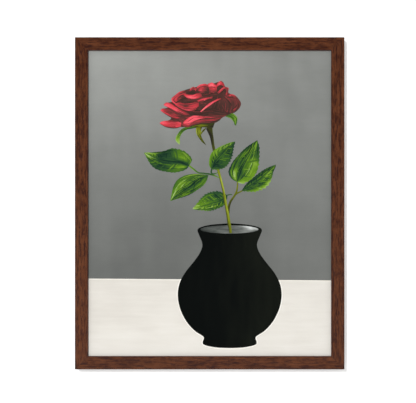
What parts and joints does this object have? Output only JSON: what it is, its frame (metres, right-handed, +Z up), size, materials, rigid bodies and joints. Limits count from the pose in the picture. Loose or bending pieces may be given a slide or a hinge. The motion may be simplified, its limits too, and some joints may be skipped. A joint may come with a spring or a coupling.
{
  "type": "framed painting",
  "caption": "Painting on stretched canvas in a plain mitred wood frame, held by offset clips and hung on swinging strap rings.",
  "frame": {"origin": "centre of the top rail's flat back face, on the plane that faces the wall", "axes": "+Z up along the frame's height, +Y out of the back towards the wall, +X to the right for someone facing the picture"},
  "size_m": [0.43, 0.03, 0.53],
  "materials": {
    "walnut": "stained walnut moulding, straight grain along each rail, low satin wax finish",
    "pine": "planed unfinished pine",
    "beech": "sawn unfinished beech",
    "canvas": "plain-weave cotton canvas, raw at the back and primed at the front",
    "zinc_steel": "zinc-plated mild steel, satin",
    "brassed_steel": "brass-plated steel, satin",
    "rubber": "soft black rubber, matt",
    "paint_grey": "brushed oil paint, soft mottled grey",
    "paint_off_white": "brushed oil paint, warm off-white",
    "paint_black": "oil paint, near-black with a faint olive tint",
    "paint_pale_grey": "oil paint, broken grey to white strokes",
    "paint_green": "oil paint, loose dark and bright green strokes",
    "paint_red": "oil paint, loose coral, crimson and salmon strokes"
  },
  "bodies": {
    "framed_canvas": {"frame_rail_top": "walnut", "frame_rail_right": "walnut", "frame_rail_bottom": "walnut", "frame_rail_left": "walnut", "v_nail_top_left": "zinc_steel", "v_nail_top_right": "zinc_steel", "v_nail_bottom_left": "zinc_steel", "v_nail_bottom_right": "zinc_steel", "stretcher_bar_top": "pine", "stretcher_bar_right": "pine", "stretcher_bar_bottom": "pine", "stretcher_bar_left": "pine", "canvas_key_top_left": "beech", "canvas_key_top_right": "beech", "canvas_key_bottom_left": "beech", "canvas_key_bottom_right": "beech", "canvas_key_left_upper": "beech", "canvas_key_left_lower": "beech", "canvas_key_right_upper": "beech", "canvas_key_right_lower": "beech", "canvas": "canvas", "offset_clip_left_upper": "zinc_steel", "clip_screw_left_upper": "zinc_steel", "offset_clip_left_lower": "zinc_steel", "clip_screw_left_lower": "zinc_steel", "offset_clip_right_upper": "zinc_steel", "clip_screw_right_upper": "zinc_steel", "offset_clip_right_lower": "zinc_steel", "clip_screw_right_lower": "zinc_steel", "hanger_strap_left": "brassed_steel", "strap_screw_left": "brassed_steel", "wall_bumper_left": "rubber", "hanger_strap_right": "brassed_steel", "strap_screw_right": "brassed_steel", "wall_bumper_right": "rubber", "painted_backdrop": "paint_grey", "painted_tabletop": "paint_off_white", "painted_vase": "paint_black", "painted_vase_mouth": "paint_pale_grey", "painted_stem": "paint_green", "painted_leaf_upper_left": "paint_green", "painted_leaf_lower_left": "paint_green", "painted_leaf_middle": "paint_green", "painted_leaf_upper_right": "paint_green", "painted_leaf_lower_right": "paint_green", "painted_leaf_low_left": "paint_green", "painted_sepal_left": "paint_green", "painted_sepal_middle": "paint_green", "painted_sepal_right": "paint_green", "painted_rose": "paint_red"},
    "left_ring": {"d_ring_left": "brassed_steel"},
    "right_ring": {"d_ring_right": "brassed_steel"}
  },
  "joints": [
    {"name": "left_ring_swing", "type": "hinge", "parent": "framed_canvas", "child": "left_ring", "pos_m": [-0.20825, 0.00265, -0.14325], "axis": [-1, 0, 0], "range_deg": [0, 186]},
    {"name": "right_ring_swing", "type": "hinge", "parent": "framed_canvas", "child": "right_ring", "pos_m": [0.20825, 0.00265, -0.14325], "axis": [-1, 0, 0], "range_deg": [0, 186]}
  ]
}
